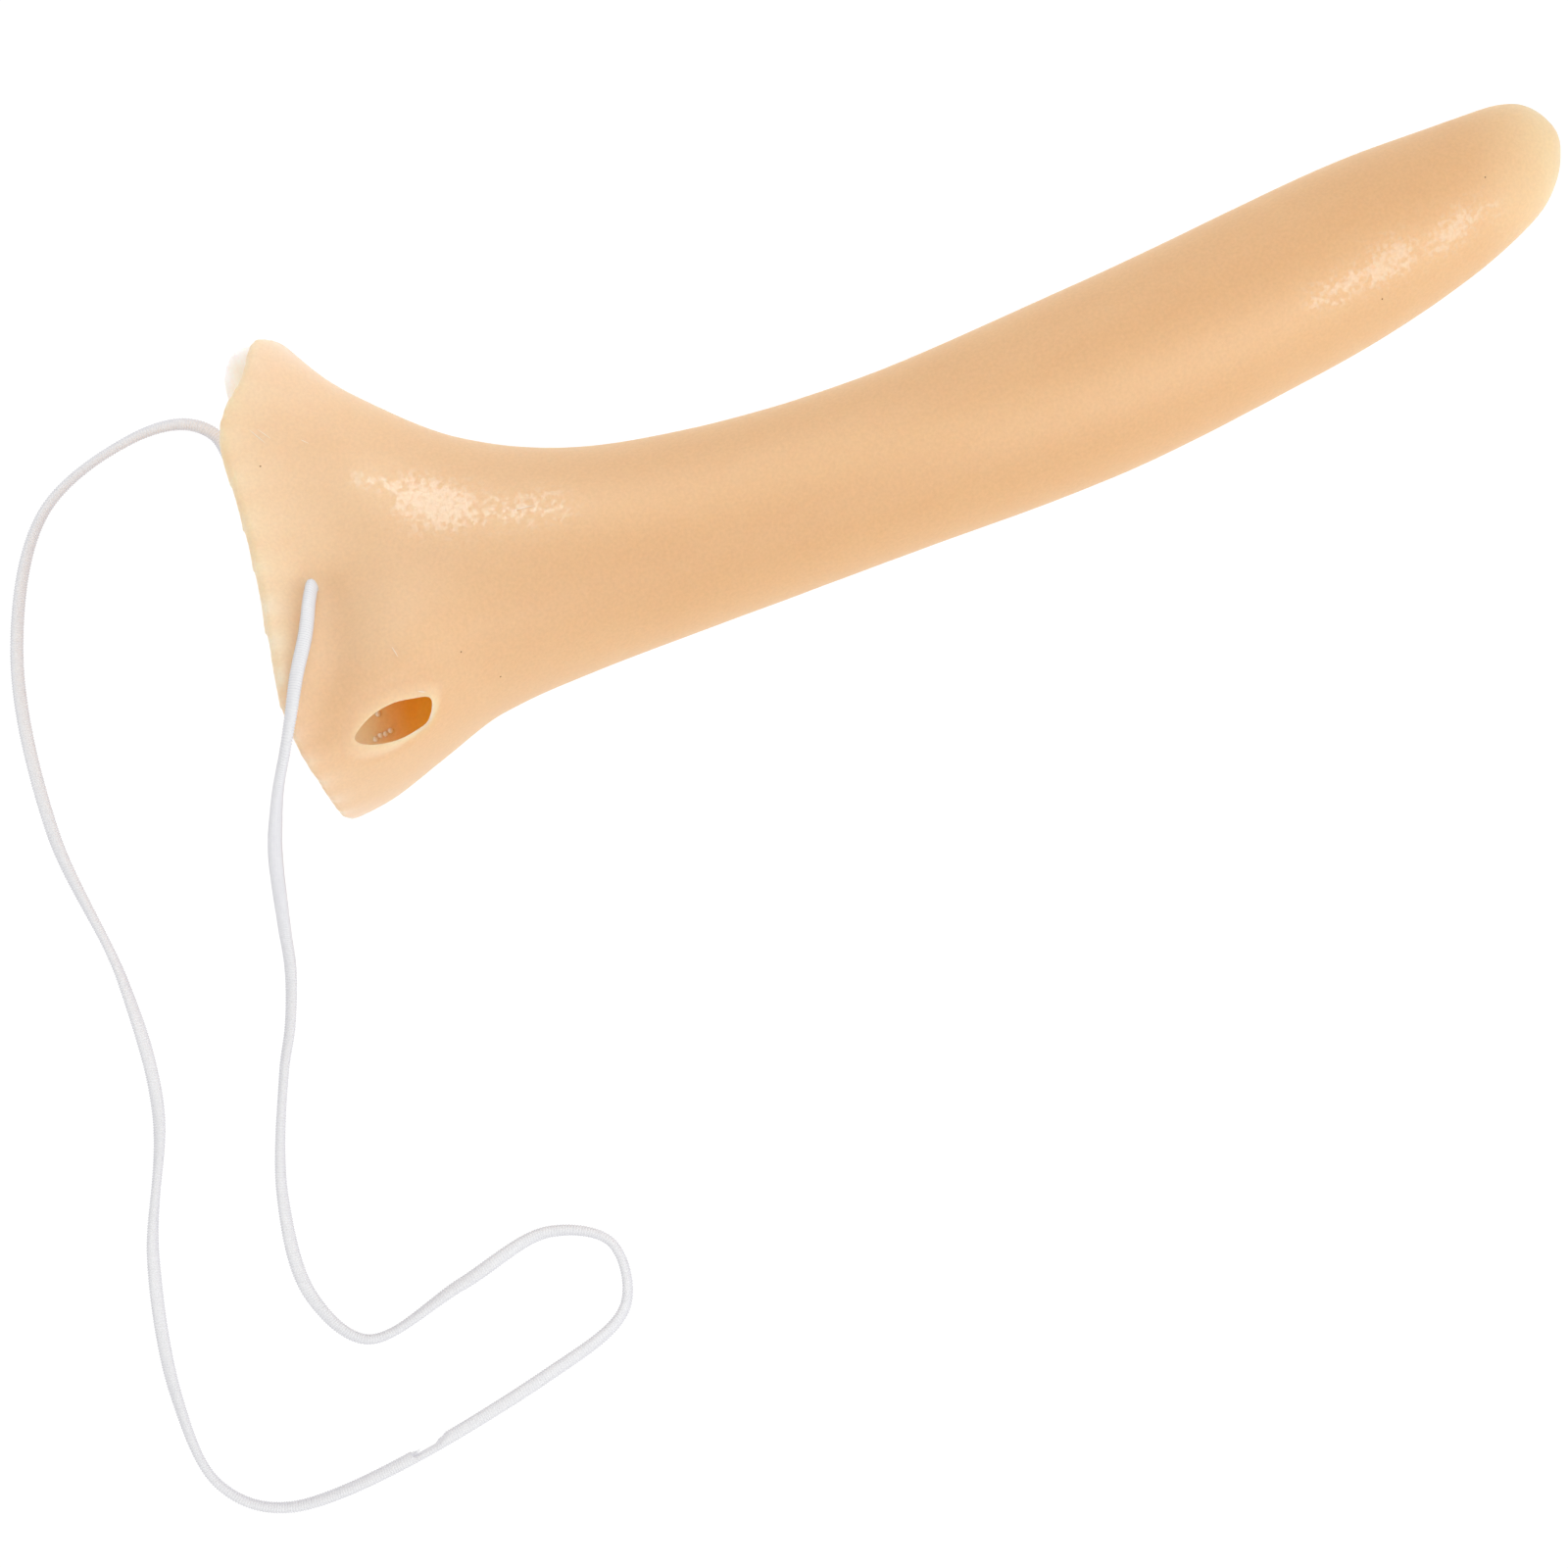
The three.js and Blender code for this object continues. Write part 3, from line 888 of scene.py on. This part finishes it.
place = add("ShaderNodeTexCoord").outputs["Object"]
# Painted glow: the inner wall is amber, turning honey towards the open base.
glow = blended(add, carried(add, "glow_share"), AMBER, HONEY)
tone = blended(add, noise(add, place, 70.0, 4.0), PEACH, STRAW)
# These blends paint light and shade into the colour: sheen, paleness, crease shade, glow and milky edge.
for attribute, colour in (
    ("sheen_band_share", PAINTED_SHEEN),
    ("rim_share", PALE),
    ("crease_shade_share", SHADE),
    ("lip_share", PALE),
    ("edge_share", MILKY),
    ("tip_share", TIP_PALE),
    ("inner_share", glow),
    ("far_share", MILKY),
):
    tone = blended(add, carried(add, attribute), tone, colour)
print("nodes so far", len(latex.node_tree.nodes))

# %% Break up the gloss
PAINTED_GLINT = (1.0, 0.79, 0.58, 1)
GRAIN_DARK = (0.92, 0.91, 0.90, 1)
GRAIN_LIGHT = (1.09, 1.09, 1.09, 1)
GRANULE_SHARE = 0.75
STREAK_SHARE = 0.4
ALONG_SHAFT = (60, 900, 900)

grain = noise(add, place, 2300.0, 3.0)
pits = noise(add, place, 1300.0, 4.0)
brush_place = add("ShaderNodeMapping", {"Vector": place, "Scale": ALONG_SHAFT}).outputs["Vector"]
streaks = noise(add, brush_place, 1.0)
gloss = carried(add, "polish_share")
granules = ranged(add, pits, From_Min=0.4, From_Max=0.6)
for pattern, share in ((granules, GRANULE_SHARE), (streaks, STREAK_SHARE)):
    inputs = {0: pattern, 1: share, 2: gloss}
    gloss = add("ShaderNodeMath", inputs, operation="MULTIPLY_ADD").outputs["Value"]
gloss = ranged(add, gloss, From_Min=1.0, From_Max=1.65, To_Max=0.85)
# Painted highlight: the colour pales where the coat is glossy.
tone = blended(add, ranged(add, gloss, To_Max=0.4), tone, PAINTED_GLINT)
speckle = blended(add, grain, GRAIN_DARK, GRAIN_LIGHT)
tone = blended(add, 1.0, tone, speckle, blend_type="MULTIPLY")
print("nodes so far", len(latex.node_tree.nodes))

# %% Pour the latex
far_share = carried(add, "far_share")
pores = add("ShaderNodeBump", {"Height": grain, "Strength": 0.12, "Distance": 0.2 * MM})
brushed = add(
    "ShaderNodeBump",
    {"Height": streaks, "Strength": 0.1, "Distance": 0.3 * MM, "Normal": pores.outputs["Normal"]},
)
pitted = add(
    "ShaderNodeBump",
    {
        "Height": pits,
        "Strength": carried(add, "pitted_share"),
        "Distance": 0.4 * MM,
        "Normal": brushed.outputs["Normal"],
    },
)
skin = add(
    "ShaderNodeBsdfPrincipled",
    {
        "Base Color": tone,
        "Roughness": 0.5,
        "IOR": 1.5,
        "Specular IOR Level": ranged(add, carried(add, "inner_share"), To_Min=0.5, To_Max=0.06),
        "Normal": brushed.outputs["Normal"],
        "Coat Weight": gloss,
        "Coat Roughness": 0.23,
        "Coat IOR": 1.7,
        "Coat Normal": pitted.outputs["Normal"],
        "Subsurface Weight": 0.8,
        "Subsurface Radius": (1.0, 0.8, 0.65),
        "Subsurface Scale": ranged(add, far_share, To_Min=1.3 * MM, To_Max=3.5 * MM),
        # Painted glow: the thin far edge emits a little, standing in for the table's light through it.
        "Emission Color": (1.0, 0.72, 0.85, 1),
        "Emission Strength": ranged(add, far_share, From_Min=0.3, To_Max=0.14),
    },
)
show(add, skin)
latex.cycles.emission_sampling = "NONE"
nose.data.materials.clear()
nose.data.materials.append(latex)
print("latex has", len(latex.node_tree.nodes), "nodes")

# %% [markdown]
# ## Small marks
# A used casting carries marks that are too small for its skin: specks of dirt and pale hairline
# scuffs. Inside the nostrils sit pale glossy beads whose colour is a painted glint. Each one is a tiny
# piece of its own. It is seated by asking the finished skin for its nearest point, and sunk a little so
# that it sits in the skin and not on it.

# %% Mix the marks' materials
DIRT_DARK = (0.2, 0.09, 0.035, 1)
DIRT_LIGHT = (0.42, 0.21, 0.09, 1)


def speckled(name, scale, first, second, roughness):
    """A material whose colour wanders between two tones."""
    material = fresh_material(name)
    add = node_maker(material)
    place = add("ShaderNodeTexCoord").outputs["Object"]
    wandering = blended(add, noise(add, place, scale), first, second)
    show(add, add("ShaderNodeBsdfPrincipled", {"Base Color": wandering, "Roughness": roughness}))
    return material


brown_dirt = speckled("brown_dirt", 9000.0, DIRT_DARK, DIRT_LIGHT, 0.8)
scuffed_latex = speckled("scuffed_latex", 2500.0, PALE, MILKY, 0.6)
# Painted glint: pale, glossy paint for the beads inside the nostrils.
pale_glint_paint = speckled("pale_glint_paint", 2500.0, PALE, MILKY, 0.2)
print("materials", [material.name for material in (brown_dirt, scuffed_latex, pale_glint_paint)])

# %% Seat the specks, drips and scuffs
from mathutils.bvhtree import BVHTree

SUNK_SHARE = 0.3
SPECK_RADIUS = 0.11 * MM
SPECKS_MM = [
    (-62.4, -14.5, 35.1),
    (-58.4, -18.2, 29.6),
    (60.2, 10.0, 20.3),
    (76.1, 23.2, 18.8),
    (-83.7, 13.3, 27.3),
]
# Beads inside the nostrils whose pale colour is a painted glint.
GLINT_BEAD_RADIUS = 0.4 * MM
GLINT_BEADS_MM = [
    (-76.4, -19.4, 5.1),
    (-76.6, -22.2, 5.0),
    (-75.9, -22.1, 4.9),
    (-75.2, -21.8, 4.8),
    (-77.3, -22.6, 5.0),
]
SCUFF_RADIUS = 0.07 * MM
SCUFF_SIDES = 6
SCUFF_STEP = 0.1 * MM
SCUFF_END = 0.25
SCUFFS_MM = [
    ((-70.5, -12.3, 39.4), (-69.8, -14.1, 39.6)),
    ((-84.5, 18.3, 26.0), (-82.6, 16.0, 26.0)),
    ((-83.4, 18.2, 26.0), (-81.9, 16.6, 25.9)),
    ((-78.4, 15.9, 25.1), (-77.4, 15.2, 25.1)),
    ((-68.6, -18.4, 37.7), (-67.2, -18.8, 36.9)),
    ((-53.4, 2.1, 29.2), (-50.3, 2.3, 28.9)),
]

finished_skin = BVHTree.FromObject(nose, bpy.context.evaluated_depsgraph_get())


def seated(place_mm, radius):
    """The point of the skin nearest to the place, sunk by a share of the mark's radius."""
    spot, normal, _, _ = finished_skin.find_nearest(Vector(place_mm) * MM)
    return spot - normal * SUNK_SHARE * radius


def beads(places_mm, radius):
    """A small ball sunk into the skin at each place."""
    pieces = []
    for place_mm in places_mm:
        seat = seated(place_mm, radius)
        bpy.ops.mesh.primitive_ico_sphere_add(subdivisions=3, radius=radius, location=seat)
        pieces.append(bpy.context.object)
    return pieces


def scuff(first, last):
    """A hairline that swells in its middle."""
    middle = (Vector(first) + Vector(last)) / 2
    line, places = smooth_line([seated(spot, SCUFF_RADIUS) for spot in (first, middle, last)], SCUFF_STEP)
    swell = SCUFF_RADIUS * (SCUFF_END + (1 - SCUFF_END) * np.sin(np.pi * places / places[-1]))
    return tube("scuff", line, np.repeat(swell[:, None], SCUFF_SIDES, axis=1))


def joined(pieces, name, material):
    """Joins the pieces into one that has its origin at the frame's."""
    whole = join(pieces)
    bpy.ops.object.transform_apply()
    bpy.ops.object.shade_smooth()
    whole.name = name
    whole.data.materials.clear()
    whole.data.materials.append(material)
    return whole


scuffs = [scuff(first, last) for first, last in SCUFFS_MM]
marks = [
    joined(beads(SPECKS_MM, SPECK_RADIUS), "dirt_specks", brown_dirt),
    joined(beads(GLINT_BEADS_MM, GLINT_BEAD_RADIUS), "painted_glint_beads", pale_glint_paint),
    joined(scuffs, "pale_scuffs", scuffed_latex),
]
print("small marks", [piece.name for piece in marks])

# %% [markdown]
# ## Elastic thread
# White thread is matt with a soft sheen. It is a little cooler than the table, and its ribs carry fine
# fuzz, so it still reads as cloth where it is nearly as bright as the paper under it. Its sides get a
# painted shade that makes them greyer than its top, and an attribute tells the shader how far each
# vertex faces up.

# %% Dye the thread
FUZZ_GREY = (0.91, 0.91, 0.94, 1)
FUZZ_WHITE = (1.0, 1.0, 1.0, 1)
PAINTED_SIDE_SHADE = (0.74, 0.735, 0.78, 1)

thread = fresh_material("white_thread")
add = node_maker(thread)
place = add("ShaderNodeTexCoord").outputs["Object"]
white = blended(add, noise(add, place, 1300.0, 3.0), FUZZ_GREY, FUZZ_WHITE)
# Painted shade: the thread greys where it faces sideways or down.
top = ranged(add, carried(add, "top_share"), From_Min=0.2, From_Max=0.9)
white = blended(add, top, PAINTED_SIDE_SHADE, white)
show(add, add("ShaderNodeBsdfPrincipled", {"Base Color": white, "Roughness": 0.8, "Sheen Weight": 0.3}))
for piece in (elastic_cord, frayed_thread, *knots):
    piece.data.materials.append(thread)
    mark(piece, "top_share", np.clip(vertex_values(piece, "normal")[:, 2], 0, 1))
print("thread has", len(thread.node_tree.nodes), "nodes")

# %% [markdown]
# ## Table and light
# The table is plain white and shines by itself, as a light table does, so hardly a shadow shows on it.
# An even white sky does most of the lighting. Three soft lamps add shape: a small one beyond the bridge
# draws the highlight at the root, another draws the one at the tip, and a larger one hangs overhead.

# %% Set the table and the sky
TABLE_SIZE = 4
TABLE_GREY = (0.12, 0.12, 0.12, 1)
TABLE_SHINE = 0.93
SKY_STRENGTH = 0.71
WHITE = (1, 1, 1, 1)

bpy.ops.object.select_all(action="DESELECT")
bpy.ops.mesh.primitive_plane_add(size=TABLE_SIZE, location=(0, 0, 0))
table = bpy.context.object
table.name = "white_table"
paper = fresh_material("white_paper")
add = node_maker(paper)
sheet = add(
    "ShaderNodeBsdfPrincipled",
    {
        "Base Color": TABLE_GREY,
        "Roughness": 0.7,
        "Emission Color": WHITE,
        "Emission Strength": TABLE_SHINE,
    },
)
show(add, sheet)
table.data.materials.append(paper)

world = bpy.data.worlds.new("even_sky")
world.use_nodes = True
sky = world.node_tree.nodes["Background"].inputs
sky["Color"].default_value = WHITE
sky["Strength"].default_value = SKY_STRENGTH
bpy.context.scene.world = world
bpy.context.scene.view_settings.view_transform = "Standard"
print("table", TABLE_SIZE, "m wide under a sky of", SKY_STRENGTH)

# %% Hang the lamps
# Each lamp: its name, the place it faces in mm, the way to it, its distance and width in m, its watts.
LAMPS = (
    ("root_lamp", (-62.6, 4.5, 28.5), (0.187, 0.90, 0.40), 0.25, 0.11, 0.09),
    ("tip_lamp", (64.0, 15.0, 21.5), (0.60, -0.42, 0.65), 0.3, 0.14, 0.16),
    ("overhead_lamp", (0, 5, 20), (0.1, -0.6, 1.0), 0.9, 0.5, 1.35),
)
for name, aim_mm, direction, distance, width, watts in LAMPS:
    aim = Vector(aim_mm) * MM
    bpy.ops.object.light_add(type="AREA", location=aim + Vector(direction).normalized() * distance)
    light = bpy.context.object
    light.name = name
    light.data.size = width
    light.data.energy = watts
    light.rotation_euler = (light.location - aim).to_track_quat("Z", "Y").to_euler()
print("lamps", [name for name, *_ in LAMPS])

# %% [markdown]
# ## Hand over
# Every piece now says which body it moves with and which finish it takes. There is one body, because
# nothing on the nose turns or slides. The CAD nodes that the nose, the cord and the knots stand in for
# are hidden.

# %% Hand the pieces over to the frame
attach(nose, "root")
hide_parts("nose_shell")
for piece, node in zip((elastic_cord, *knots), ("elastic_cord", "cord_knot_right", "cord_knot_left")):
    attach(piece, "root")
    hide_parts(node)
for piece in marks:
    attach(piece, "root")
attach(frayed_thread, "root")

# %% Finish
import json
